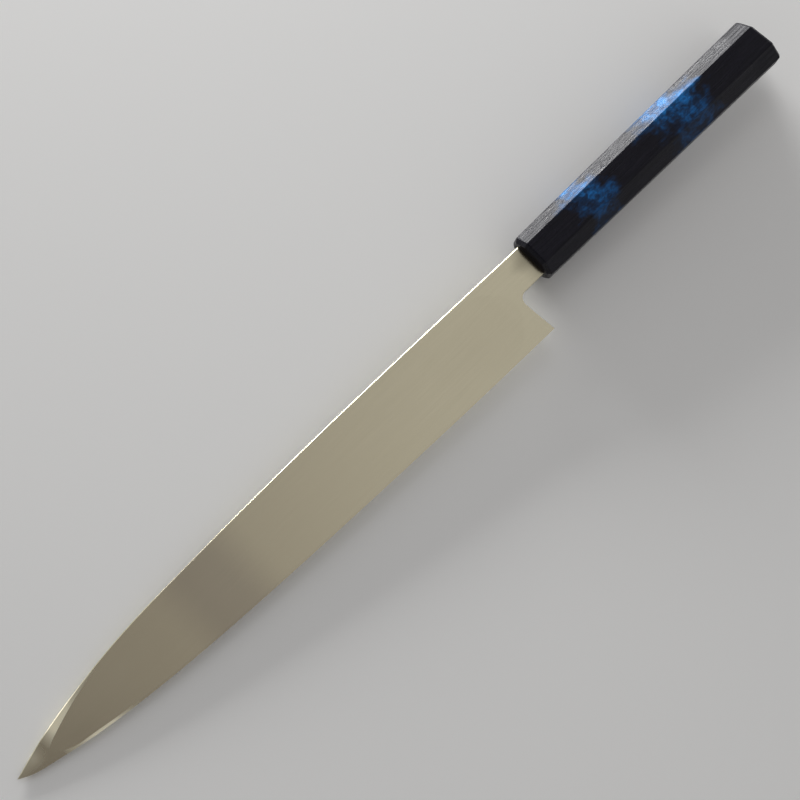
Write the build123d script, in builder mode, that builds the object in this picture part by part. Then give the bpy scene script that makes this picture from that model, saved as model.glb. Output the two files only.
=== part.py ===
from build123d import *
from math import cos, radians, sin, sqrt, tan
import os

# A single-bevel slicing knife lying on its bevelled side, hollow back up.
# Lengths are in millimetres and angles in degrees.
# The knife is drawn about the handle's axis: X runs from the point to the butt, with zero at the
# handle's front face, Y runs from the edge to the spine, and Z comes out of the hollow back.

# Blade outline: a reach is counted forward from the handle, a drop down from the handle's axis
edge_length = 300.0
heel_setback = 14.5
heel_drop = 28.6
heel_lean = 5.4
tip_drop = 7.1
spine_crown = 9.5
neck_height = 16.2
notch_radius = 4.3

# Blade section
neck_thickness = 4.0
tip_thickness = 1.9
bevel_width = 16.0
hard_thickness = 1.3
weld_setback = 6.0

# Hollow of the back, and the flat rims round it
hollow_depth = 0.45
rim_width = 1.1
hollow_heel_gap = 18.5
hollow_tip_gap = 17.0
heel_runout = 24.0
tip_runout = 40.0

# Tang
tang_length = 105.0
tang_root_height = 11.5
tang_end_height = 6.0
tang_root_thickness = 3.8
tang_end_thickness = 2.4

# Handle: height is across the narrow side facets, thickness across the wide ones
handle_length = 147.0
handle_front_height = 22.3
handle_butt_height = 24.8
handle_front_thickness = 19.0
handle_butt_thickness = 21.2
facet_front_width = 11.5
facet_butt_width = 12.2
mouth_bevel = 1.6
butt_bevel = 1.2
butt_slant = 6.5

# Joint between tang and handle
bedding_gap = 0.6
seal_depth = 2.0

# How far a cutting shape reaches past what it cuts
overrun = 5.0

# Shares of the tip's reach, and of the fall from the spine's crown to the tip
spine_along_shares = (0.335, 0.52, 0.665, 0.745, 0.825, 0.904, 0.9525)
spine_fall_shares = (0.0, 0.021, 0.088, 0.150, 0.297, 0.534, 0.735)
# Shares of the way from heel to tip, and of the edge's rise on that way
edge_along_shares = (0.16, 0.365, 0.565, 0.705, 0.817, 0.90, 0.95, 0.978)
edge_rise_shares = (0.023, 0.089, 0.183, 0.291, 0.436, 0.610, 0.755, 0.855)
# Places along the edge where the bevel's width is laid off
bevel_shares = (0.0, 0.15, 0.3, 0.45, 0.6, 0.7, 0.8, 0.88, 0.95, 1.0)
# Shares of a run-out's length, and of the hollow's full width there
runout_along_shares = (0.07, 0.2, 0.42, 0.7)
heel_width_shares = (0.27, 0.53, 0.79, 0.94)
tip_width_shares = (0.46, 0.77, 0.91, 0.98)
middle_along_shares = (0.0, 0.25, 0.5, 0.75, 1.0)
# Rounds of halving that find a place on a curve
halvings = 24

# Derived places
ura_height = neck_thickness / 2
edge_advance = sqrt(edge_length**2 - (heel_drop - tip_drop) ** 2)
tip_reach = heel_setback + edge_advance
heel_corner = (-heel_setback, -heel_drop)
tip = (-tip_reach, -tip_drop)
neck_top = (0, neck_height / 2)
neck_bottom = (0, -neck_height / 2)
notch_reach = heel_setback + (heel_drop - neck_height / 2) * tan(radians(heel_lean))
notch_corner = (-notch_reach, -neck_height / 2)
spine_fall = spine_crown + tip_drop
edge_rise = heel_drop - tip_drop
mortise_length = tang_length + bedding_gap


def blade_thickness(reach):
    """Thickness at the spine, which thins steadily towards the tip."""
    return neck_thickness - (neck_thickness - tip_thickness) * reach / tip_reach


def tang_size(station):
    """Height and thickness of the tang at a distance behind the handle's front face."""
    share = station / tang_length
    height = tang_root_height + (tang_end_height - tang_root_height) * share
    thickness = tang_root_thickness + (tang_end_thickness - tang_root_thickness) * share
    return height, thickness


def handle_octagon(station):
    """Corners of the handle's section; the four corner facets stand at 45 degrees."""
    share = station / handle_length
    height = handle_front_height + (handle_butt_height - handle_front_height) * share
    thickness = handle_front_thickness + (handle_butt_thickness - handle_front_thickness) * share
    wide = (facet_front_width + (facet_butt_width - facet_front_width) * share) / 2
    narrow = thickness / 2 - (height / 2 - wide)
    quarter = ((wide, thickness / 2), (height / 2, narrow))
    half = quarter + tuple((y, -z) for y, z in reversed(quarter))
    return half + tuple((-y, -z) for y, z in half)


def height_at(curve, reach):
    """Height of a curve above the handle's axis at a reach in front of the handle."""
    near, far = 0, 1
    for _ in range(halvings):
        middle = (near + far) / 2
        if -(curve @ middle).X < reach:
            near = middle
        else:
            far = middle
    return (curve @ near).Y


def beside(curve, share, distance):
    """Point off the curve, square to it, on its spine side."""
    along = curve % share
    return curve @ share + Vector(along.Y, -along.X) * distance


ura_plane = Plane.XY.offset(ura_height)
mouth_plane = Plane((0, 0, 0), x_dir=(0, 1, 0), z_dir=(1, 0, 0))

# The two curves that bound the blade
spine_points = [
    (-tip_reach * along, spine_crown - spine_fall * fall)
    for along, fall in zip(spine_along_shares, spine_fall_shares)
]
with BuildLine() as spine_line:
    Spline(neck_top, *spine_points, tip)
spine_curve = spine_line.line

edge_points = [
    (-heel_setback - edge_advance * along, edge_rise * rise - heel_drop)
    for along, rise in zip(edge_along_shares, edge_rise_shares)
]
with BuildLine() as edge_line:
    Spline(heel_corner, *edge_points, tip)
edge_curve = edge_line.line

# What the bevel takes off: everything outside a surface that leaves the edge and runs in under the
# blade at one steady slope
bevel_slope = bevel_width / blade_thickness(heel_setback)
bevel_reach = bevel_slope * (neck_thickness + overrun)
with BuildPart() as bevel_waste:
    for rise in (overrun, -neck_thickness - overrun):
        inset = -rise * bevel_slope
        heel_end = beside(edge_curve, 0, inset)
        tip_end = beside(edge_curve, 1, inset)
        before_heel = heel_end - (edge_curve % 0) * bevel_reach
        past_tip = tip_end + (edge_curve % 1) * bevel_reach
        with BuildSketch(ura_plane.offset(rise)):
            with BuildLine():
                Line(before_heel, heel_end)
                Spline(*[beside(edge_curve, share, inset) for share in bevel_shares])
                Line(tip_end, past_tip)
                far_drop = heel_drop + bevel_reach * 2
                Line(past_tip, (past_tip.X, -far_drop))
                Line((past_tip.X, -far_drop), (before_heel.X, -far_drop))
                Line((before_heel.X, -far_drop), before_heel)
            make_face()
    loft(ruled=True)

# What the grinding wheel takes out of the back: arcs of the wheel across the blade, closed above it.
# The first and last arcs stand just clear of the back, so the hollow runs out between them.
wheel_reach = hollow_heel_gap + heel_runout
wheel_top = height_at(spine_curve, wheel_reach) - rim_width
wheel_bottom = height_at(edge_curve, wheel_reach) + rim_width
wheel_radius = (((wheel_top - wheel_bottom) / 2) ** 2 + hollow_depth**2) / (2 * hollow_depth)
far_reach = tip_reach - hollow_tip_gap
middle_length = far_reach - tip_runout - wheel_reach
first_share = runout_along_shares[0]
stations = [(hollow_heel_gap - heel_runout * first_share, -heel_width_shares[0])]
for along, width in zip(runout_along_shares, heel_width_shares):
    stations.append((hollow_heel_gap + heel_runout * along, width))
for along in middle_along_shares:
    stations.append((wheel_reach + middle_length * along, 1))
for along, width in reversed(tuple(zip(runout_along_shares, tip_width_shares))):
    stations.append((far_reach - tip_runout * along, width))
stations.append((far_reach + tip_runout * first_share, -tip_width_shares[0]))

with BuildPart() as hollow_waste:
    for reach, width_share in stations:
        upper = height_at(spine_curve, reach) - rim_width
        lower = height_at(edge_curve, reach) + rim_width
        centre = (upper + lower) / 2
        half_width = (upper - lower) / 2 * width_share
        depth = wheel_radius - sqrt(wheel_radius**2 - half_width**2)
        if width_share < 0:
            depth = -depth
        half_mouth = sqrt(wheel_radius**2 - (wheel_radius - depth - neck_thickness) ** 2)
        mouth_height = ura_height + neck_thickness
        with BuildSketch(mouth_plane.offset(-reach)):
            with BuildLine():
                ThreePointArc(
                    (centre - half_mouth, mouth_height),
                    (centre, ura_height - depth),
                    (centre + half_mouth, mouth_height),
                )
                Line((centre + half_mouth, mouth_height), (centre - half_mouth, mouth_height))
            make_face()
    loft()

# The whole blade before its two metals are told apart
with BuildPart() as blade:
    with BuildSketch(ura_plane) as outline:
        with BuildLine():
            Line(neck_bottom, neck_top)
            Spline(neck_top, *spine_points, tip)
            spine_end = Vector(*tip) + (spine_curve % 1) * overrun
            Line(tip, spine_end)
            low_drop = heel_drop + overrun
            low_heel = (-heel_setback + overrun * tan(radians(heel_lean)), -low_drop)
            Polyline(spine_end, (spine_end.X, -low_drop), low_heel, notch_corner, neck_bottom)
        make_face()
        fillet(outline.vertices().sort_by_distance(notch_corner)[0], notch_radius)
    extrude(amount=-neck_thickness)
    flat_normal = (neck_thickness - tip_thickness, 0, tip_reach)
    split(bisect_by=Plane((0, 0, ura_height - neck_thickness), z_dir=flat_normal))
    add(bevel_waste.part, mode=Mode.SUBTRACT)
    add(hollow_waste.part, mode=Mode.SUBTRACT)

# The slab of hard steel along the back, thinned to a scarf where its weld ends in front of the neck
with BuildPart() as hard_slab:
    with BuildSketch(Plane.XZ):
        with BuildLine():
            Polyline(
                (-weld_setback + overrun, ura_height + overrun),
                (-tip_reach - overrun, ura_height + overrun),
                (-tip_reach - overrun, ura_height - hard_thickness),
                (-weld_setback - hard_thickness, ura_height - hard_thickness),
                close=True,
            )
        make_face()
    extrude(amount=heel_drop + overrun, both=True)

with BuildPart() as hard_steel_layer:
    add(blade.part)
    add(hard_slab.part, mode=Mode.INTERSECT)

with BuildPart() as soft_iron_body:
    add(blade.part)
    add(hard_slab.part, mode=Mode.SUBTRACT)
    for station in (0, tang_length):
        with BuildSketch(mouth_plane.offset(station)):
            Rectangle(*tang_size(station))
    loft()

# The socket in the handle, and the two fillings that close it round the tang
with BuildPart() as mortise:
    for station in (0, mortise_length):
        with BuildSketch(mouth_plane.offset(station)):
            Rectangle(*[size + 2 * bedding_gap for size in tang_size(station)])
    loft()

with BuildPart() as mouth_seal:
    add(mortise.part)
    split(bisect_by=mouth_plane.offset(seal_depth), keep=Keep.BOTTOM)
    add(soft_iron_body.part, mode=Mode.SUBTRACT)

with BuildPart() as tang_bedding:
    add(mortise.part)
    split(bisect_by=mouth_plane.offset(seal_depth), keep=Keep.TOP)
    add(soft_iron_body.part, mode=Mode.SUBTRACT)

with BuildPart() as handle:
    with BuildSketch(mouth_plane):
        Circle(handle_butt_height)
    extrude(amount=handle_length + handle_butt_height)
    front_corners = handle_octagon(0)
    butt_corners = handle_octagon(handle_length)
    for corner in range(-1, len(front_corners) - 1):
        start = Vector(0, *front_corners[corner])
        across = Vector(0, *front_corners[corner + 1]) - start
        ridge = Vector(handle_length, *butt_corners[corner]) - start
        split(bisect_by=Plane(start, x_dir=across, z_dir=across.cross(ridge)))
    butt_normal = (-cos(radians(butt_slant)), -sin(radians(butt_slant)), 0)
    split(bisect_by=Plane((handle_length, 0, 0), z_dir=butt_normal))
    chamfer(handle.faces().sort_by(Axis.X)[0].edges(), mouth_bevel)
    chamfer(handle.faces().sort_by(Axis.X)[-1].edges(), butt_bevel)
    add(mortise.part, mode=Mode.SUBTRACT)

# Set the knife down: the middle of its footprint over the origin and its lowest face on the ground
pieces = {
    "hard_steel_layer": hard_steel_layer,
    "soft_iron_body": soft_iron_body,
    "handle": handle,
    "tang_bedding": tang_bedding,
    "mouth_seal": mouth_seal,
}
knife_box = Compound([piece.part for piece in pieces.values()]).bounding_box()
low, high = knife_box.min, knife_box.max
ground = Location((-(low.X + high.X) / 2, -(low.Y + high.Y) / 2, -low.Z))

os.makedirs("parts", exist_ok=True)
for name, piece in pieces.items():
    piece.part.move(ground)
    piece.part.label = name
    export_step(piece.part, f"parts/{name}.step")
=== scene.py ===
import bmesh
import bpy
import math
from mathutils import Matrix, Vector


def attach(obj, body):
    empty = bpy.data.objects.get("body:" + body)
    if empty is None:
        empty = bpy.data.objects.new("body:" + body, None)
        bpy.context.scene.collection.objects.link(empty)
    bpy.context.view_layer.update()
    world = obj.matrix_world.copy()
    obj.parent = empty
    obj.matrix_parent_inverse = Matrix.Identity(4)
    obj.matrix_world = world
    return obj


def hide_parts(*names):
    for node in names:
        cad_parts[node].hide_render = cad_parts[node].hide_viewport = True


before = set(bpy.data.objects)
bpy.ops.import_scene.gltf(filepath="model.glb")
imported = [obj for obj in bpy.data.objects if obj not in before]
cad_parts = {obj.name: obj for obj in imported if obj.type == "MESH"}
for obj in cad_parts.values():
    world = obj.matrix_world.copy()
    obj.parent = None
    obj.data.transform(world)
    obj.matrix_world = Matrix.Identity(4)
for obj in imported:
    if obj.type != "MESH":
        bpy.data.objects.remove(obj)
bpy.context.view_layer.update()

# The knife is measured in millimetres about the handle's axis, as the solids are: X from the point
# to the butt with zero at the handle's front face, Y to the spine, Z out of the hollow back.
# SHIFT carries that to the row's frame, which is in metres.
SHIFT = Vector((82.7251, 8.1111, 10.5962))
MM_PER_METRE = 1000

# Outline of the blade, its curves as shares of the way along and of the way across
TIP = (-313.7286, -7.1)
HEEL = (-14.5, -28.6)
HEEL_LEAN = math.tan(math.radians(5.4))
HEEL_LEAN_REACH = 8.0
SPINE_TOP = 9.5
SPINE_SHARES = (
    (0.335, 0.0), (0.52, 0.021), (0.665, 0.088), (0.745, 0.150), (0.825, 0.297), (0.904, 0.534),
    (0.9525, 0.735),
)
EDGE_SHARES = (
    (0.16, 0.023), (0.365, 0.089), (0.565, 0.183), (0.705, 0.291), (0.817, 0.436), (0.90, 0.610),
    (0.95, 0.755), (0.978, 0.855),
)

# Neck in front of the handle, and the round notch between it and the heel
NECK_TOP = 8.1
NECK_LOW = -8.1
NOTCH_X = -11.71
NOTCH_Y = -12.4
NOTCH_ROUND = 4.3
BODY_START = NOTCH_X - NOTCH_ROUND

# Thickness: height of the back's flat rims, the hard steel, the blade at each end, the bevel
BACK = 2.0
HARD = 1.3
HANDLE_END_THICK = 4.0
POINT_THICK = 1.9
BEVEL_WIDTH = 16.0
WELD_X = -6.0

# Rounded corners of the blade: the spine's on the back at each end, the spine's below, the notch's
SPINE_EASE = 0.9
SPINE_EASE_AT_POINT = 0.55
SPINE_EASE_REACH = 313.0
SPINE_EASE_SHARE = 0.2
LOW_EASE = 0.4
LOW_EASE_DEPTH_SHARE = 0.5
LOW_EASE_WIDTH_SHARE = 0.3
NOTCH_EASE = 0.25
NOTCH_EASE_REACH = 0.5

# The hollow, ground on a wheel of this radius. Its two sides go by reach from the handle: near the
# heel as places across the blade, near the point as distances in from the spine and from the edge,
# and between them one even rim inside. It starts shallow and reaches its full depth further on. It
# ends at a share of the way from the spine to the edge.
WHEEL = 340.5
RIM = 1.0
HEEL_SIDES = (
    (18.5, -8.6, -8.8), (20.0, -4.3, -13.3), (23.0, -0.4, -18.2), (28.0, 4.0, -22.9), (34.0, 6.6, -25.6),
    (40.0, 7.6, -26.9), (60.0, 8.1, -27.1),
)
POINT_RIMS = (
    (240.0, 1.0, 1.0), (255.0, 1.0, 1.0), (268.0, 1.5, 1.05), (280.0, 2.6, 1.1), (289.0, 3.8, 1.3),
    (294.0, 4.7, 3.1), (297.0, 5.55, 4.75),
)
EVEN_RIMS_REACH = 80.0
HOLLOW_END_SHARE = 0.54
FULL_DEPTH_REACH = 70.0
FIRST_DEPTH_SHARE = 0.35

# How strongly the back's flat rims by the point are polished and carry a painted highlight: place along
# the blade, strength. Then how softly one rim's strength changes to the other's, how softly a rim ends
# at the hollow, and how far below the rims the back can lie.
SPINE_POLISH_AND_HIGHLIGHT = (
    (TIP[0], 0.2), (-306.3, 0.24), (-302.9, 0.38), (-299.4, 0.1), (-296.4, 0.0), (-292.5, 0.45),
    (-289.0, 1.0), (-278.6, 0.9), (-275.1, 0.55), (-268.2, 0.3), (-264.7, 0.15), (-257.8, 0.0),
)
EDGE_POLISH_AND_HIGHLIGHT = (
    (-292.5, 0.0), (-289.0, 0.35), (-285.5, 0.5), (-282.1, 0.8), (-278.6, 1.0), (-268.2, 1.0),
    (-264.7, 0.6), (-261.3, 0.35), (-257.8, 0.1), (-254.0, 0.0),
)
POLISH_AND_HIGHLIGHT_CHANGE = 3.0
POLISH_AND_HIGHLIGHT_FADE = 0.12
RIM_DEPTH = 0.6

# Sections along the blade: how far apart they stand up to each place, the last ones by the point, the
# neck's, and where the hard steel's scarf starts and the soft iron's last section is sought
STATION_STEPS = ((-30.0, 0.6), (-48.0, 1.0), (-232.0, 2.0), (-284.0, 1.0), (-310.5, 0.5))
LAST_STATIONS = (-311.0, -311.6, -312.2, -312.7, -313.1, -313.4, -313.6, TIP[0])
NECK_STATIONS = (
    0.0, -1.0, -2.0, -3.0, -4.0, -5.0, -6.0, -6.1, -6.2, -6.3, -6.5, -7.3, -8.5, -10.0, -11.7, -12.5,
    -13.2, -13.9, -14.5, -15.0, -15.4, -15.7, -15.88, -15.97, BODY_START,
)
SCARF_START = 0.02
SOFT_END_GAP = 0.3
SOFT_END_AFTER = -280.0
HALVINGS = 40

# Rows across a section: the hollow's least half width for them, the rims' least width, the pair of
# close rows at each side of the hollow and of the ridge, and the row that is pulled to the notch
LEAST_HALF = 0.6
LEAST_HALF_SHARE = 0.12
LEAST_RIM_SHARE = 0.1 / 38
HOLLOW_TIGHT = 0.12
HOLLOW_TIGHT_SHARE = 0.4
RIDGE_TIGHT = 0.15
RIDGE_TIGHT_SHARE = 0.2
PULL_REACH = 10
PULL_WIDTH = 4
TINY = 1e-6

# Steps round the corners and across the rims, the hollow, the weld, the edge and the underside
LOW_CORNER_STEPS = 6
SPINE_STEPS = 9
NOTCH_STEPS = 4
SPINE_RIM_STEPS = 4
HOLLOW_STEPS = 34
EDGE_RIM_STEPS = 8
WELD_STEPS = 8
EDGE_STEPS = 8
FLAT_STEPS = 10
BEVEL_STEPS = 12

# Tang inside the handle: place, height and thickness
TANG_SECTIONS = ((-0.3, 11.5, 3.8), (0.0, 11.5, 3.8), (105.0, 6.0, 2.4))

# Handle: height, thickness and width of the flat facet at both ends, its bevels and its mortise, and
# the distance from the axis beyond which its points are on the outside
HANDLE_LENGTH = 147.0
FRONT_SIZES = (22.3, 19.0, 11.5)
BUTT_SIZES = (24.8, 21.2, 12.2)
BUTT_SLANT = math.tan(math.radians(6.5))
FRONT_BEVEL = 1.6
BUTT_BEVEL = 1.2
FACET_EASE = 0.32
HANDLE_STATIONS = (FRONT_BEVEL, 20.0, 40.0, 60.0, 80.0, 100.0, 120.0)
MORTISE_MOUTH = ((4.0, 2.5), (6.35, 2.5))
MORTISE_END = ((2.4, 1.796), (3.584, 1.796))
MORTISE_DEPTH = 105.6
OUTSIDE_RADIUS = 8.5

# Mesh finish: edges sharper than these degrees stay sharp, and points nearer than these metres are one
BLADE_SMOOTH_ANGLE = 28.0
HANDLE_SMOOTH_ANGLE = 20.0
JOIN_DISTANCE = 2e-7
FLAT_DISTANCE = 1e-7


class Cubic:
    """A natural cubic through points with rising first values."""

    def __init__(self, points):
        points = sorted(points)
        self.x = [p[0] for p in points]
        self.y = [p[1] for p in points]
        n = len(points)
        h = [self.x[i + 1] - self.x[i] for i in range(n - 1)]
        slope = [(self.y[i + 1] - self.y[i]) / h[i] for i in range(n - 1)]
        mu, z = [0.0] * n, [0.0] * n
        for i in range(1, n - 1):
            pivot = 2 * (h[i - 1] + h[i]) - h[i - 1] * mu[i - 1]
            mu[i] = h[i] / pivot
            z[i] = (3 * (slope[i] - slope[i - 1]) - h[i - 1] * z[i - 1]) / pivot
        c = [0.0] * n
        for i in range(n - 2, -1, -1):
            c[i] = z[i] - mu[i] * c[i + 1]
        self.c, self.h = c, h
        self.b = [slope[i] - h[i] * (c[i + 1] + 2 * c[i]) / 3 for i in range(n - 1)]

    def __call__(self, x):
        i = 0
        while i < len(self.h) - 1 and x > self.x[i + 1]:
            i += 1
        t = x - self.x[i]
        d = (self.c[i + 1] - self.c[i]) / (3 * self.h[i])
        return self.y[i] + t * (self.b[i] + t * (self.c[i] + t * d))


def mix(a, b, t):
    return a + (b - a) * t


def smooth(low, high, value):
    t = min(1.0, max(0.0, (value - low) / (high - low)))
    return t * t * (3 - 2 * t)


def row_frame(point):
    """From the knife's millimetres to the row's frame."""
    return (Vector(point) + SHIFT) / MM_PER_METRE


def knife_frame(point):
    """From the row's frame back to the knife's millimetres."""
    return point * MM_PER_METRE - SHIFT


spine_curve = Cubic(
    [(0.0, NECK_TOP)] + [(TIP[0] * run, mix(SPINE_TOP, TIP[1], fall)) for run, fall in SPINE_SHARES] + [TIP]
)
edge_curve = Cubic(
    [HEEL] + [(mix(HEEL[0], TIP[0], run), mix(HEEL[1], TIP[1], rise)) for run, rise in EDGE_SHARES] + [TIP]
)
heel_top = Cubic([(reach, top) for reach, top, _ in HEEL_SIDES])
heel_low = Cubic([(reach, low) for reach, _, low in HEEL_SIDES])
point_rim_top = Cubic([(reach, top) for reach, top, _ in POINT_RIMS])
point_rim_low = Cubic([(reach, low) for reach, _, low in POINT_RIMS])


def spine(x):
    return spine_curve(max(x, TIP[0]))


def edge(x):
    return edge_curve(min(max(x, TIP[0]), HEEL[0]))


def edge_cos(x):
    """Cosine of the edge's slope to the knife's axis."""
    step = 0.5
    rise = edge(x - step) - edge(x + step)
    return math.cos(math.atan(rise / (2 * step)))


def hollow_span(x):
    """The hollow's two sides at x: its spine side and its edge side."""
    reach = -x
    start, first_top, first_low = HEEL_SIDES[0]
    even, even_top, even_low = HEEL_SIDES[-1]
    end = POINT_RIMS[-1][0]
    if reach <= start:
        return first_top, first_low
    if reach < even:
        return heel_top(reach), heel_low(reach)
    top, low = spine(x) - RIM, edge(x) + RIM
    if reach > POINT_RIMS[0][0]:
        top = spine(x) - point_rim_top(min(reach, end))
        low = edge(x) + point_rim_low(min(reach, end))
    if reach < EVEN_RIMS_REACH:
        t = (reach - even) / (EVEN_RIMS_REACH - even)
        top = mix(mix(even_top, top, t), top, t)
        low = mix(mix(even_low, low, t), low, t)
    if reach >= end or top < low:
        centre = mix(spine(x), edge(x), HOLLOW_END_SHARE)
        return centre, centre
    return top, low


def hollow(x, y):
    """Depth of the back below its flat rims."""
    reach, start = -x, HEEL_SIDES[0][0]
    if reach <= start:
        return 0.0
    top, low = hollow_span(x)
    half, centre = (top - low) / 2, (top + low) / 2
    run_in = mix(FIRST_DEPTH_SHARE, 1.0, smooth(start, FULL_DEPTH_REACH, reach))
    return max(0.0, run_in * (half * half - (y - centre) ** 2) / (2 * WHEEL))


def flat_z(x):
    """Height of the flat of the bevelled side."""
    return mix(BACK - HANDLE_END_THICK, BACK - POINT_THICK, x / TIP[0])


BEVEL_RUN = BEVEL_WIDTH / (BACK - flat_z(HEEL[0]))


def bevel_z(x, y):
    """Height of the bevel, which rises to the back at the cutting edge."""
    return BACK - (y - edge(x)) * edge_cos(x) / BEVEL_RUN


def under_z(x, y):
    """Height of the underside, flat or bevel."""
    return max(flat_z(x), bevel_z(x, y))


def weld_edge(x):
    """Where the weld between the two steels comes out in the bevel."""
    return min(edge(x) + HARD * BEVEL_RUN / edge_cos(x), spine(x))


def ridge_line(x):
    """The ridge between the bevel and the flat."""
    return min(edge(x) + (BACK - flat_z(x)) * BEVEL_RUN / edge_cos(x), spine(x))


def spine_ease(x):
    """Radius of the spine's rounded corner on the back."""
    widest = mix(SPINE_EASE, SPINE_EASE_AT_POINT, -x / SPINE_EASE_REACH)
    return max(0.0, min(widest, SPINE_EASE_SHARE * (spine(x) - edge(x))))


def low_ease(x):
    """Radius of the spine's rounded corner on the underside."""
    depth = max(BACK - HARD - under_z(x, spine(x)), 0.0)
    width = spine(x) - weld_edge(x)
    return max(0.0, min(LOW_EASE, LOW_EASE_DEPTH_SHARE * depth, LOW_EASE_WIDTH_SHARE * width))


def stations():
    """Places along the blade, close together where its outline or the hollow turns."""
    xs, x = [], BODY_START
    for end, step in STATION_STEPS:
        while x > end:
            xs.append(x)
            x -= step
    return xs + list(LAST_STATIONS)


def place_x(x, y):
    """The heel stands on a leaning line; further on the sections stand square."""
    share = 1 - (BODY_START - x) / HEEL_LEAN_REACH
    if share < 0 or y >= NOTCH_Y:
        return x
    lean = HEEL[0] - (y - HEEL[1]) * HEEL_LEAN - BODY_START
    return x + lean * share


def corner(r, high, low, steps):
    """A round corner of the back between two heights: how far in from the wall, and how high."""
    ends = []
    for z in (high, low):
        drop = min(max(BACK - z, 0.0), r)
        ends.append(math.acos(1 - drop / r) if r > 0 else math.pi / 2)
    turns = [mix(ends[0], ends[1], i / steps) for i in range(steps + 1)]
    return [(r - r * math.sin(a), min(high, BACK - r + r * math.cos(a))) for a in turns]


def spine_corner(x, r, high, low):
    """The spine's corner, from its wall up to the back."""
    return [(x, spine(x) - inset, z) for inset, z in reversed(corner(r, high, low, SPINE_STEPS))]


def low_corner(x, low, r):
    """The spine's corner on the underside, from its wall down to the flat."""
    turns = [math.radians(90 * i / LOW_CORNER_STEPS) for i in range(LOW_CORNER_STEPS + 1)]
    return [(x, spine(x) - r + r * math.cos(a), low + r - r * math.sin(a)) for a in turns]


def pinned(ys, x):
    """Near the heel one row of a section runs to the notch's corner, where the neck starts."""
    pull = smooth(BODY_START - PULL_REACH, BODY_START, x)
    first = ys.index(min(ys, key=lambda y: abs(y - NOTCH_Y)))
    if pull > 0 and abs(ys[first] - NOTCH_Y) < PULL_WIDTH:
        ys[first] = mix(ys[first], NOTCH_Y, pull)
    return ys


def back_rows(x):
    """Places across the back from the eased spine corner to the edge."""
    s, e = spine(x), edge(x)
    start = s - spine_ease(x)
    top, low = hollow_span(x)
    half = max((top - low) / 2, min(LEAST_HALF, LEAST_HALF_SHARE * (s - e)))
    centre = (top + low) / 2
    top = min(centre + half, start - LEAST_RIM_SHARE * (s - e))
    low = max(centre - half, e + LEAST_RIM_SHARE * (s - e))
    room = min(half / 2, start - top, low - e)
    tight = max(0.0, min(HOLLOW_TIGHT, HOLLOW_TIGHT_SHARE * room))
    rows = [mix(start, top + tight, t / SPINE_RIM_STEPS) for t in range(SPINE_RIM_STEPS + 1)]
    rows.append(top)
    rows += [mix(top - tight, low + tight, t / HOLLOW_STEPS) for t in range(HOLLOW_STEPS + 1)]
    rows.append(low)
    rows += [mix(low - tight, e, t / EDGE_RIM_STEPS) for t in range(EDGE_RIM_STEPS + 1)]
    return pinned(rows, x)


def weld_rows(x):
    """Places across the weld between the two steels, from the bevel to the spine."""
    return pinned([mix(weld_edge(x), spine(x), i / WELD_STEPS) for i in range(1, WELD_STEPS)], x)


def flat_rows(x):
    """Places across the underside from the eased spine corner over the ridge to the weld."""
    start, weld = spine(x) - low_ease(x), weld_edge(x)
    ridge = min(max(ridge_line(x), weld), start)
    tight = max(0.0, min(RIDGE_TIGHT, RIDGE_TIGHT_SHARE * min(start - ridge, ridge - weld)))
    rows = [mix(start, ridge + tight, t / FLAT_STEPS) for t in range(1, FLAT_STEPS + 1)]
    rows.append(ridge)
    rows += [mix(ridge - tight, weld, t / BEVEL_STEPS) for t in range(BEVEL_STEPS + 1)]
    return pinned(rows, x)


def hard_section(x):
    """One section of the hard steel: the spine's wall, the back, the bevel by the edge, the weld."""
    s, e, weld = spine(x), edge(x), weld_edge(x)
    wall = max(BACK - HARD, bevel_z(x, s))
    section = [(x, s, wall)] + spine_corner(x, spine_ease(x), BACK, wall)
    for y in back_rows(x):
        px = place_x(x, y)
        section.append((px, y, BACK - hollow(px, y)))
    for i in range(1, EDGE_STEPS + 1):
        y = mix(e, weld, i / EDGE_STEPS)
        section.append((place_x(x, y), y, max(BACK - HARD, bevel_z(x, y))))
    low = BACK - HARD if weld < s - TINY else wall
    return section + [(place_x(x, y), y, low) for y in weld_rows(x)]


def soft_section(x):
    """One section of the soft iron: the spine's wall, the underside with its ridge, the weld."""
    top = BACK - HARD
    section = [(x, spine(x), top)] + low_corner(x, under_z(x, spine(x)), low_ease(x))
    section += [(place_x(x, y), y, min(under_z(x, y), top)) for y in flat_rows(x)]
    return section + [(place_x(x, y), y, top) for y in weld_rows(x)]


def soft_end():
    """Where the soft iron runs out behind the point."""
    near, far = SOFT_END_AFTER, TIP[0]
    for _ in range(HALVINGS):
        middle = (near + far) / 2
        if spine(middle) - edge(middle) > HARD * BEVEL_RUN / edge_cos(middle):
            near = middle
        else:
            far = middle
    return near


def notch_y(x):
    """The neck's lower line: straight by the handle, round in the notch."""
    if x > NOTCH_X:
        return NECK_LOW
    return NOTCH_Y + math.sqrt(max(0.0, NOTCH_ROUND ** 2 - (x - NOTCH_X) ** 2))


def weld_z(x):
    """Height of the weld in the neck: it climbs to the back as a scarf."""
    return min(BACK, max(BACK - HARD, BACK + (x - WELD_X)))


def neck_shares(ys, start):
    """Rows above the notch as shares of the way from their first place down to it."""
    return [(start - y) / (start - NOTCH_Y) for y in ys if y >= NOTCH_Y - TINY]


def notch_corner(x, high, low):
    """The neck's lower line, its rounded corner's radius and that corner's points on the back."""
    n = NOTCH_Y if x <= BODY_START else notch_y(x)
    r = NOTCH_EASE * smooth(0.0, NOTCH_EASE_REACH, x - BODY_START)
    return n, r, [(x, n + inset, z) for inset, z in corner(r, high, low, NOTCH_STEPS)]


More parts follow.
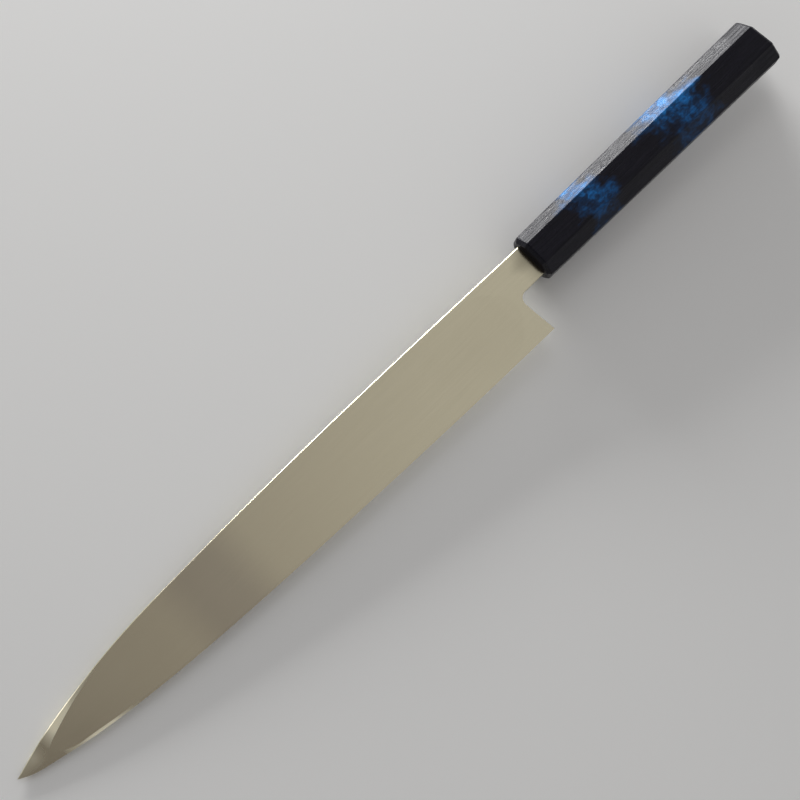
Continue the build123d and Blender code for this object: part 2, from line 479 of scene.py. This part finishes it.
def hard_neck_section(x):
    """The hard steel in the neck: it thins to nothing where the weld comes up to the back."""
    low = weld_z(x)
    high_points = spine_corner(x, spine_ease(x), BACK, low)
    _, _, low_points = notch_corner(x, BACK, low)
    start, wall = high_points[-1][1], high_points[0][1]
    section = [(x, wall, low)] + high_points
    for t in neck_shares(back_rows(BODY_START), spine(BODY_START) - spine_ease(BODY_START)):
        section.append((x, mix(start, low_points[0][1], t), BACK))
    section += low_points
    for t in neck_shares(weld_rows(BODY_START), spine(BODY_START)):
        section.append((x, mix(wall, low_points[-1][1], t), low))
    return section


def soft_neck_section(x):
    """The soft iron in the neck, under the weld and, next to the handle, up to the back."""
    s, low, high = spine(x), flat_z(x), weld_z(x)
    high_points = spine_corner(x, spine_ease(x), high, low)
    n, r, low_points = notch_corner(x, high, low)
    under = low_ease(BODY_START)
    section = list(reversed(high_points)) + low_corner(x, low, under)
    for t in neck_shares(flat_rows(BODY_START), spine(BODY_START) - under):
        section.append((x, mix(s - under, n + r, t), low))
    for i in range(1, NOTCH_STEPS + 1):
        a = math.radians(90 * i / NOTCH_STEPS)
        section.append((x, n + r - r * math.sin(a), low + r - r * math.cos(a)))
    section += reversed(low_points)
    for t in neck_shares(weld_rows(BODY_START), spine(BODY_START)):
        section.append((x, mix(high_points[-1][1], low_points[0][1], t), high))
    return section


def heel_wall(section):
    """The part of the first section below the notch, which is the heel's standing wall."""
    return [p for p in section if p[1] <= NOTCH_Y + TINY]


def tang_section(x, height, thick):
    y, z = height / 2, thick / 2
    return [(x, y, z), (x, -y, z), (x, -y, -z), (x, y, -z)]


def new_mesh(name, shells, walls=(), smooth_angle=BLADE_SMOOTH_ANGLE):
    """One object of lofted shells. A shell is a list of sections, each a ring of points, with a cap
    at its first and last section where asked; walls are single faces between shells."""
    points, faces = [], []
    for sections, first_cap, last_cap in shells:
        base, count = len(points), len(sections[0])
        for section in sections:
            points.extend(row_frame(p) for p in section)
        for s in range(len(sections) - 1):
            for i in range(count):
                j = (i + 1) % count
                a, b = base + s * count, base + (s + 1) * count
                faces.append((a + i, b + i, b + j, a + j))
        if first_cap:
            faces.append(tuple(base + i for i in range(count)))
        if last_cap:
            last = base + (len(sections) - 1) * count
            faces.append(tuple(last + i for i in reversed(range(count))))
    for wall in walls:
        faces.append(tuple(range(len(points), len(points) + len(wall))))
        points.extend(row_frame(p) for p in wall)
    mesh = bpy.data.meshes.new(name)
    mesh.from_pydata(points, [], faces)
    finish_mesh(mesh, smooth_angle)
    thing = bpy.data.objects.new(name, mesh)
    bpy.context.scene.collection.objects.link(thing)
    return thing


def finish_mesh(mesh, smooth_angle):
    """Joins the shells, turns the faces outward and keeps the back's flat rims flat in the light."""
    work = bmesh.new()
    work.from_mesh(mesh)
    bmesh.ops.remove_doubles(work, verts=work.verts, dist=JOIN_DISTANCE)
    bmesh.ops.dissolve_degenerate(work, dist=FLAT_DISTANCE, edges=work.edges)
    bmesh.ops.recalc_face_normals(work, faces=work.faces)
    work.to_mesh(mesh)
    work.free()
    mesh.shade_smooth()
    mesh.set_sharp_from_angle(angle=math.radians(smooth_angle))
    back = row_frame((0, 0, BACK)).z
    for face in mesh.polygons:
        if all(abs(mesh.vertices[v].co.z - back) < FLAT_DISTANCE for v in face.vertices):
            face.use_smooth = False
    mesh.update()


def strength_at(table, x):
    """A table's value at x, straight between its places and steady past its ends."""
    for (near, first), (far, second) in zip(table, table[1:]):
        if x <= far:
            return mix(first, second, max(0.0, (x - near) / (far - near)))
    return table[-1][1]


def mark_rim_polish_and_highlight(thing):
    """Stores on each point how far it belongs to a rim of the back, which is polished and carries a painted
    highlight.
    """
    layer = thing.data.attributes.new("rim", "FLOAT", "POINT")
    for i, vertex in enumerate(thing.data.vertices):
        x, y, z = knife_frame(vertex.co)
        top, low = hollow_span(x)
        half, centre = (top - low) / 2, (top + low) / 2
        side = smooth(-POLISH_AND_HIGHLIGHT_CHANGE, POLISH_AND_HIGHLIGHT_CHANGE, y - centre)
        value = mix(strength_at(EDGE_POLISH_AND_HIGHLIGHT, x), strength_at(SPINE_POLISH_AND_HIGHLIGHT, x), side)
        if z > BACK - RIM_DEPTH and half > 0:
            value *= smooth(-POLISH_AND_HIGHLIGHT_FADE, POLISH_AND_HIGHLIGHT_FADE, abs(y - centre) - half)
        layer.data[i].value = value


def hard_steel_mesh(body_xs):
    body = [hard_section(x) for x in body_xs]
    neck_xs = [WELD_X - SCARF_START] + [x for x in NECK_STATIONS if x < WELD_X]
    neck = [hard_neck_section(x) for x in neck_xs]
    thing = new_mesh("blade_hard_steel", [(body, False, True), (neck, True, False)], [heel_wall(body[0])])
    mark_rim_polish_and_highlight(thing)
    return thing


def soft_iron_mesh(body_xs):
    last = soft_end()
    xs = [x for x in body_xs if x > last + SOFT_END_GAP] + [last]
    body = [soft_section(x) for x in xs]
    neck = [soft_neck_section(x) for x in NECK_STATIONS]
    tang = [tang_section(*sizes) for sizes in TANG_SECTIONS]
    shells = [(body, False, True), (neck, True, False), (tang, True, True)]
    return new_mesh("blade_soft_iron", shells, [heel_wall(body[0])])


def eight_corners(first, second):
    """A ring of eight points from two of them, mirrored to both sides and to top and bottom."""
    half = [first, second] + [(y, -z) for y, z in (second, first)]
    return half + [(-y, -z) for y, z in half]


def octagon(x, inset=0.0):
    """The handle's outline at x, its eight facets drawn in by inset."""
    t = x / HANDLE_LENGTH
    height, thick, flat = (mix(front, butt, t) / 2 for front, butt in zip(FRONT_SIZES, BUTT_SIZES))
    cut = inset * (1 - math.sqrt(2))
    return eight_corners((flat + cut, thick - inset), (height - inset, thick - (height - flat) + cut))


def handle_mesh():
    """Eight facets that widen to the butt, a bevel at each end, a slanting butt and the mortise."""
    rings = [[(MORTISE_DEPTH, y, z) for y, z in eight_corners(*MORTISE_END)]]
    rings.append([(0.0, y, z) for y, z in eight_corners(*MORTISE_MOUTH)])
    rings.append([(0.0, y, z) for y, z in octagon(0.0, FRONT_BEVEL)])
    for x in HANDLE_STATIONS:
        rings.append([(x, y, z) for y, z in octagon(x)])
    for inset in (0.0, BUTT_BEVEL):
        ring = []
        for i, (y, _) in enumerate(octagon(HANDLE_LENGTH, inset)):
            x = HANDLE_LENGTH - BUTT_BEVEL + inset - y * BUTT_SLANT
            ring.append((x, *octagon(x, inset)[i]))
        rings.append(ring)
    thing = new_mesh("handle_wood", [(rings, True, True)], (), HANDLE_SMOOTH_ANGLE)
    ease_outside(thing)
    return thing


def ease_outside(thing):
    """Rounds the handle's outer edges and leaves the mortise's edges sharp."""
    outer = [math.hypot(*knife_frame(v.co).yz) > OUTSIDE_RADIUS for v in thing.data.vertices]
    weights = thing.data.attributes.new("bevel_weight_edge", "FLOAT", "EDGE")
    for i, side in enumerate(thing.data.edges):
        weights.data[i].value = 1.0 if all(outer[v] for v in side.vertices) else 0.0
    ease = thing.modifiers.new("eased_edges", "BEVEL")
    ease.width = FACET_EASE / MM_PER_METRE
    ease.segments = 3
    ease.limit_method = "WEIGHT"
    ease.harden_normals = True


body_xs = stations()
hard = hard_steel_mesh(body_xs)
soft = soft_iron_mesh(body_xs)
handle = handle_mesh()

for piece, node in ((hard, "hard_steel_layer"), (soft, "soft_iron_body"), (handle, "handle")):
    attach(piece, "root")
    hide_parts(node)


class Nodes:
    """Short names for building a node tree."""

    def __init__(self, tree):
        self.tree = tree
        tree.nodes.clear()

    def new(self, kind):
        return self.tree.nodes.new("ShaderNode" + kind)

    def link(self, source, target):
        self.tree.links.new(source, target)

    def put(self, socket, value):
        """Links another node's output to a socket, or sets a plain value on it."""
        if hasattr(value, "is_output"):
            self.link(value, socket)
        else:
            socket.default_value = value

    def axes(self, vector):
        node = self.new("SeparateXYZ")
        self.link(vector, node.inputs[0])
        return node.outputs

    def span(self, value, low, high, to_low=0.0, to_high=1.0, shape="SMOOTHSTEP"):
        """Carries a value from one stretch to another, held at the ends."""
        node = self.new("MapRange")
        node.interpolation_type = shape
        names = ("Value", "From Min", "From Max", "To Min", "To Max")
        for key, setting in zip(names, (value, low, high, to_low, to_high)):
            self.put(node.inputs[key], setting)
        return node.outputs["Result"]

    def calculate(self, kind, *values):
        node = self.new("Math")
        node.operation = kind
        for socket, value in zip(node.inputs, values):
            self.put(socket, value)
        return node.outputs[0]

    def times(self, a, b):
        return self.calculate("MULTIPLY", a, b)

    def plus(self, a, b):
        return self.calculate("ADD", a, b)

    def blend(self, factor, a, b):
        """A colour between two colours."""
        node = self.new("Mix")
        node.data_type = "RGBA"
        self.put(node.inputs["Factor"], factor)
        self.put(node.inputs["A"], (*a, 1) if isinstance(a, tuple) else a)
        self.put(node.inputs["B"], (*b, 1) if isinstance(b, tuple) else b)
        return node.outputs["Result"]

    def blend_value(self, factor, a, b):
        """A number between two numbers."""
        node = self.new("Mix")
        self.put(node.inputs["Factor"], factor)
        self.put(node.inputs["A"], a)
        self.put(node.inputs["B"], b)
        return node.outputs["Result"]


class Shader(Nodes):
    """A material made of one main shader, its patterns fixed to the row's frame."""

    def __init__(self, name):
        self.material = bpy.data.materials.new(name)
        self.material.use_nodes = True
        super().__init__(self.material.node_tree)
        self.body = self.new("BsdfPrincipled")
        self.link(self.body.outputs[0], self.new("OutputMaterial").inputs["Surface"])
        self.place = self.new("TexCoord").outputs["Object"]

    def noise(self, grain, detail, rough, distortion=0.0, turn=0.0, move=0.0):
        """Cloudy noise of so many grains to the metre along each axis, turned about Z and moved on."""
        place = self.new("Mapping")
        self.link(self.place, place.inputs["Vector"])
        place.inputs["Scale"].default_value = grain
        place.inputs["Rotation"].default_value = (0, 0, turn)
        place.inputs["Location"].default_value = (move, 0, 0)
        node = self.new("TexNoise")
        self.link(place.outputs[0], node.inputs["Vector"])
        names = ("Scale", "Detail", "Roughness", "Distortion")
        for key, setting in zip(names, (1.0, detail, rough, distortion)):
            node.inputs[key].default_value = setting
        return node.outputs["Fac"]

    def attribute(self, name):
        node = self.new("Attribute")
        node.attribute_name = name
        return node.outputs["Fac"]

    def bump(self, height, strength, distance, under=None):
        node = self.new("Bump")
        node.inputs["Strength"].default_value = strength
        node.inputs["Distance"].default_value = distance
        self.link(height, node.inputs["Height"])
        if under is not None:
            self.link(under, node.inputs["Normal"])
        return node.outputs[0]

    def set(self, **values):
        for name, value in values.items():
            self.put(self.body.inputs[name.replace("_", " ")], value)


# A steel's look: its light and dark colour, its roughness and how far that varies
HARD_LOOK = ((0.675, 0.632, 0.468), (0.645, 0.602, 0.442), 0.25, 0.02)
SOFT_LOOK = ((0.61, 0.58, 0.445), (0.51, 0.485, 0.375), 0.37, 0.05)
# Painted highlight: the lighter colour of the rims by the point.
RIM_HIGHLIGHT_COLOUR = (0.97, 0.92, 0.73)
RIM_HAZE = 0.38
# Painted shade: the neck's colour darkens towards the handle's mouth, where the handle shades it, most of
# all along its middle. Places in metres.
MOUTH_SHADE_COLOUR = (0.03, 0.026, 0.02)
MOUTH_DARKNESS = 0.44
MOUTH_FROM, MOUTH_TO = 0.0700, 0.0820
MOUTH_MIDDLE, MOUTH_HALF_WIDTH, MOUTH_SETBACK = 0.0098, 0.0060, 0.0042
# Painted reflection: a dim violet band of reflection is painted across the blade as colour, with a soft
# change at each side. Places in metres.
BAND_REFLECTION_COLOUR = (0.10, 0.07, 0.12)
BAND_REFLECTION_STRENGTH = 0.22
BAND_HANDLE_SIDE = (-0.088, -0.110)
BAND_POINT_SIDE = (-0.144, -0.122)
# The height from which the neck counts as its back, the part of a noise that gives all its change,
# and the depth of the ground lines
NECK_BACK = (0.0122, 0.0125)
MIDDLE_TONES = (0.3, 0.7)
LINE_DEPTH = 0.00002


def steel_material(name, look, rims):
    """Steel ground lengthwise: fine long lines and a slow change of polish. The hollow back's rims are
    brighter near the point: rougher from their polish, and lighter in colour as a painted highlight.
    Painted shade darkens the neck towards the handle, and a dim violet band of painted reflection
    crosses the blade. The neck's back is finished in one with the hard steel."""
    m = Shader(name)
    x, y, z = m.axes(m.place)
    lines = m.noise((22, 1500, 1500), 3.0, 0.6)
    fine = m.noise((60, 4200, 4200), 2.0, 0.5)
    slow = m.noise((11, 26, 26), 2.0, 0.5)
    tone = m.blend_value(0.65, lines, slow)
    polish = m.blend_value(0.4, slow, fine)

    def finish(light, dark, rough, haze):
        base = m.blend(m.span(tone, *MIDDLE_TONES), dark, light)
        return base, m.span(polish, *MIDDLE_TONES, rough - haze, rough + haze)

    base, roughness = finish(*look)
    if rims:
        rim = m.attribute("rim")
        # Painted highlight: the rims' base colour is lightened; the added roughness is their polish.
        base = m.blend(rim, base, RIM_HIGHLIGHT_COLOUR)
        roughness = m.plus(roughness, m.times(rim, RIM_HAZE))
    else:
        neck_back = m.span(z, *NECK_BACK)
        hard_base, hard_roughness = finish(*HARD_LOOK)
        base = m.blend(neck_back, base, hard_base)
        roughness = m.blend_value(neck_back, roughness, hard_roughness)
    # Painted shade: the neck's colour darkens towards the handle's mouth, most of all along its middle.
    aside = m.calculate("ABSOLUTE", m.plus(y, -MOUTH_MIDDLE))
    mouth = m.calculate("SUBTRACT", x, m.span(aside, 0.0, MOUTH_HALF_WIDTH, 0.0, MOUTH_SETBACK))
    base = m.blend(m.span(mouth, MOUTH_FROM, MOUTH_TO, 0.0, MOUTH_DARKNESS), base, MOUTH_SHADE_COLOUR)
    # Painted reflection: a dim violet band across the blade, painted into the steel's colour.
    band = m.times(m.span(x, *BAND_HANDLE_SIDE), m.span(x, *BAND_POINT_SIDE))
    base = m.blend(m.times(band, BAND_REFLECTION_STRENGTH), base, BAND_REFLECTION_COLOUR)
    m.set(Base_Color=base, Metallic=1.0, Roughness=roughness)
    m.set(Normal=m.bump(fine, 0.06, LINE_DEPTH, m.bump(lines, 0.05, LINE_DEPTH)))
    return m.material


# Wood colours, each dark and light: the plain wood, the dye, and the dye on the spine-side facet lightened
# as a painted highlight
WOOD_TONES = ((0.0026, 0.0025, 0.0066), (0.0058, 0.0052, 0.0115))
BLUE_TONES = ((0.003, 0.052, 0.160), (0.010, 0.165, 0.50))
FACET_BLUE_HIGHLIGHT_TONES = ((0.006, 0.110, 0.33), (0.014, 0.215, 0.57))
# The two blue patches in metres along the handle: where each begins, is full, has ended, is still full
BLUE_PATCHES = ((0.109, 0.121, 0.1312, 0.1232), (0.160, 0.174, 0.1940, 0.1840))
PATCH_WARP = 0.034
# The patches run further to the front on the spine-side facet, and end earlier
PATCH_START_SLIP = (0.010, 0.0145, 0.0, 0.007)
PATCH_END_SLIP = (0.0125, 0.0195, 0.0, 0.005)
# The dye is strong towards the spine and weak towards the edge and on the lower facets
DYE_ACROSS = (-0.001, 0.013)
DYE_LOWER_FACETS = (0.0125, 0.0150, 0.30, 1.0)
SPINE_FACET_Y = (0.0125, 0.0150)
SPINE_FACET_Z = (0.0130, 0.0152)
BUTT_DULLNESS = (0.2125, 0.2200, 0.0, 0.14)
WOOD_IOR = 1.29
PORE_DEPTH = 0.00010
GRAIN_DEPTH = 0.00034


def wood_material():
    """Dark stabilised wood, open-grained, with two dyed blue patches."""
    m = Shader("dyed_wood")
    x, y, z = m.axes(m.place)
    grain = m.noise((55, 700, 700), 5.0, 0.65, 0.8, turn=0.05)
    pores = m.noise((110, 1700, 1700), 3.0, 0.6, 0.3, turn=0.09)
    broad = m.noise((70, 110, 110), 3.0, 0.6)
    blobs = m.noise((230, 270, 270), 3.0, 0.6, 0.35, turn=0.5)
    cracks = m.noise((480, 640, 640), 3.0, 0.6, 0.3, turn=-0.5)
    streaks = m.noise((26, 620, 620), 4.0, 0.6, 1.2, turn=0.04, move=3)

    warp = m.times(m.plus(broad, -0.5), PATCH_WARP)
    start = m.plus(m.plus(x, warp), m.span(y, *PATCH_START_SLIP))
    end = m.plus(m.plus(x, warp), m.span(y, *PATCH_END_SLIP))
    first, second = (
        m.times(m.span(start, begun, full), m.span(end, gone, still_full))
        for begun, full, gone, still_full in BLUE_PATCHES
    )
    across = m.span(m.plus(y, m.times(warp, 0.4)), *DYE_ACROSS)
    patch = m.times(m.calculate("MAXIMUM", first, second), m.plus(m.times(across, 0.7), 0.3))
    patch = m.times(patch, m.span(z, *DYE_LOWER_FACETS))
    mottled = m.times(m.span(blobs, 0.36, 0.66), m.span(cracks, 0.30, 0.55, 0.55, 1.0))
    blue = m.times(patch, m.plus(m.times(mottled, 0.55), 0.45))

    # Painted highlight: the dye on the spine-side facet is lighter, as if lit from that side.
    spine_facet_highlight = m.times(m.span(y, *SPINE_FACET_Y), m.span(z, *SPINE_FACET_Z))
    dye_and_facet_highlight = m.blend(spine_facet_highlight, m.blend(mottled, *BLUE_TONES), m.blend(mottled, *FACET_BLUE_HIGHLIGHT_TONES))
    m.set(Base_Color=m.blend(blue, m.blend(m.span(grain, 0.35, 0.65), *WOOD_TONES), dye_and_facet_highlight))
    worn = m.blend_value(0.35, streaks, grain)
    m.set(Roughness=m.plus(m.span(worn, 0.38, 0.62, 0.44, 0.20), m.span(x, *BUTT_DULLNESS)), IOR=WOOD_IOR)
    m.set(Normal=m.bump(pores, 0.7, PORE_DEPTH, m.bump(worn, 0.9, GRAIN_DEPTH)))
    return m.material


def plain_material(name, light, dark, rough, grain):
    """One clouded colour with a slightly uneven surface."""
    m = Shader(name)
    cloud = m.noise((grain, grain, grain), 4.0, 0.6)
    m.set(Base_Color=m.blend(m.span(cloud, *MIDDLE_TONES), dark, light))
    m.set(Roughness=m.span(cloud, *MIDDLE_TONES, rough - 0.06, rough + 0.06))
    m.set(Normal=m.bump(cloud, 0.2, 0.0001))
    return m.material


def resin_material():
    return plain_material("set_resin", (0.16, 0.11, 0.05), (0.10, 0.065, 0.03), 0.35, 300)


def wax_material():
    return plain_material("sealing_wax", (0.012, 0.010, 0.009), (0.005, 0.004, 0.004), 0.5, 600)


for thing, material in (
    (hard, steel_material("hard_steel_satin", HARD_LOOK, True)),
    (soft, steel_material("soft_iron_satin", SOFT_LOOK, False)),
    (handle, wood_material()),
    (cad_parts["tang_bedding"], resin_material()),
    (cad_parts["mouth_seal"], wax_material()),
):
    thing.data.materials.clear()
    thing.data.materials.append(material)

# The floor: half its side in metres, and the depth of the handle's lower facet behind its front bevel
FLOOR_HALF = 6.0
FACET_DEPTH = 9.52
FLOOR_COLOUR = (0.93, 0.93, 0.92, 1)


def lay_floor():
    """The knife lies on its handle's front lower edge and the end of the blade's flat, so the floor
    leans to touch both."""
    low_front = row_frame((FRONT_BEVEL, 0.0, -FACET_DEPTH))
    rests = [(under_z(x, spine(x)), x) for x in body_xs]
    lean = min(math.atan2(z + FACET_DEPTH, FRONT_BEVEL - x) for z, x in rests)
    middle = Vector((0.0, 0.0, low_front.z + low_front.x * math.tan(lean)))
    turn = Matrix.Rotation(lean, 4, "Y")
    corners = [Vector((x * FLOOR_HALF, y * FLOOR_HALF, 0)) for x, y in ((-1, -1), (1, -1), (1, 1), (-1, 1))]
    mesh = bpy.data.meshes.new("floor")
    mesh.from_pydata([turn @ corner + middle for corner in corners], [], [(0, 1, 2, 3)])
    paper = Shader("pale_floor")
    paper.set(Base_Color=FLOOR_COLOUR, Roughness=0.9)
    paper.body.inputs["Specular IOR Level"].default_value = 0.1
    mesh.materials.append(paper.material)
    thing = bpy.data.objects.new("floor", mesh)
    bpy.context.scene.collection.objects.link(thing)
    return thing


floor = lay_floor()

# The sky, by direction. The ceiling's soft light is strongest over the neck and falls off towards the
# point and the butt: X of the direction, strength, tint.
SKY_FROM, SKY_TO = -0.2, 0.6
WARM = (1.0, 0.85, 0.82)
WHITE = (1.0, 0.985, 0.98)
CEILING = (
    (-0.2, 0.05, WARM), (0.02, 0.06, WARM), (0.07, 0.15, WARM), (0.11, 0.28, WARM), (0.145, 0.36, WARM),
    (0.18, 0.54, WHITE), (0.215, 0.68, WHITE), (0.25, 0.76, WHITE), (0.30, 0.76, WHITE),
    (0.38, 0.52, WHITE), (0.5, 0.25, WHITE),
)
CEILING_HEIGHT = (0.45, 0.85)
WALL_LIGHT = (-0.7, 0.1, 0.40, 0.66)
# A soft glow beyond the spine, which its eased corner shows as a bright line that fades to the point
PLAIN = (1.0, 1.0, 1.0)
SPINE_GLOW = (
    (-0.2, 0.25, PLAIN), (0.05, 0.25, PLAIN), (0.10, 0.38, PLAIN), (0.15, 0.55, PLAIN), (0.20, 0.50, PLAIN),
    (0.24, 0.55, PLAIN), (0.265, 0.95, PLAIN), (0.29, 1.5, PLAIN), (0.5, 1.5, PLAIN),
)
GLOW_ACROSS = (0.33, 0.50)
GLOW_HEIGHT = (0.36, 0.50)
GLOW_END = (0.55, 0.42)


def sky_ramp(w, source, stops, shape):
    """Light that changes along X, from stops of place, strength and tint."""
    node = w.new("ValToRGB")
    node.color_ramp.interpolation = shape
    w.link(source, node.inputs[0])
    while len(node.color_ramp.elements) < len(stops):
        node.color_ramp.elements.new(0.5)
    for element, (place, strength, tint) in zip(node.color_ramp.elements, stops):
        element.position = (place - SKY_FROM) / (SKY_TO - SKY_FROM)
        element.color = (*(strength * c for c in tint), 1)
    return node.outputs[0]


def studio_sky():
    """Walls of even light, the ceiling over them and the glow beyond the spine."""
    world = bpy.data.worlds.new("studio")
    world.use_nodes = True
    bpy.context.scene.world = world
    w = Nodes(world.node_tree)
    sky = w.new("Background")
    w.link(sky.outputs[0], w.new("OutputWorld").inputs["Surface"])
    x, y, z = w.axes(w.new("TexCoord").outputs["Generated"])
    sideways = w.span(x, SKY_FROM, SKY_TO, shape="LINEAR")
    ceiling = sky_ramp(w, sideways, CEILING, "EASE")
    whole = w.blend(w.span(z, *CEILING_HEIGHT), w.span(x, *WALL_LIGHT), ceiling)
    glow = sky_ramp(w, sideways, SPINE_GLOW, "LINEAR")
    within = w.times(w.times(w.span(y, *GLOW_ACROSS), w.span(z, *GLOW_HEIGHT)), w.span(x, *GLOW_END))
    w.link(w.blend(within, whole, glow), sky.inputs["Color"])


studio_sky()

# The lamp: place and target in metres, its sides, how brightly it shines
LAMP_PLACE = Vector((0.52, 1.12, 0.15))
LAMP_TARGET = Vector((0.12, 0.0, 0.02))
LAMP_WIDTH, LAMP_HEIGHT = 0.83, 0.24
LAMP_RADIANCE = 9.3


def low_panel():
    """A low soft panel beyond the spine, which the handle's spine-side facet mirrors."""
    data = bpy.data.lights.new("low_panel", "AREA")
    data.shape = "RECTANGLE"
    data.size, data.size_y = LAMP_WIDTH, LAMP_HEIGHT
    data.spread = math.radians(90)
    data.energy = LAMP_RADIANCE * math.pi * LAMP_WIDTH * LAMP_HEIGHT
    lamp = bpy.data.objects.new("low_panel", data)
    lamp.location = LAMP_PLACE
    lamp.rotation_euler = (LAMP_TARGET - LAMP_PLACE).to_track_quat("-Z", "Y").to_euler()
    bpy.context.scene.collection.objects.link(lamp)


low_panel()

# The photo's camera, fitted to the outline: its place in the knife's millimetres, the directions that
# it looks in and that point right in the picture, and its focal length and width in pixels
CAMERA_PLACE = (-377.07, -92.51, 1263.75)
CAMERA_RIGHT = Vector((0.70046, -0.70478, 0.11243))
CAMERA_FORWARD = Vector((0.22443, 0.06798, -0.97212))
FOCAL_PIXELS = 3025.8
PICTURE_PIXELS = 800.0
SENSOR_MM = 36.0


def photo_camera():
    data = bpy.data.cameras.new("camera")
    data.sensor_width = SENSOR_MM
    data.lens = FOCAL_PIXELS * SENSOR_MM / PICTURE_PIXELS
    data.clip_start, data.clip_end = 0.01, 50.0
    forward = CAMERA_FORWARD.normalized()
    down = forward.cross(CAMERA_RIGHT.normalized()).normalized()
    right = down.cross(forward).normalized()
    turn = Matrix((right, -down, -forward)).transposed().to_4x4()
    thing = bpy.data.objects.new("camera", data)
    thing.matrix_world = Matrix.Translation(row_frame(CAMERA_PLACE)) @ turn
    bpy.context.scene.collection.objects.link(thing)
    return thing


bpy.context.scene.camera = photo_camera()

bpy.context.scene.view_settings.view_transform = "Standard"
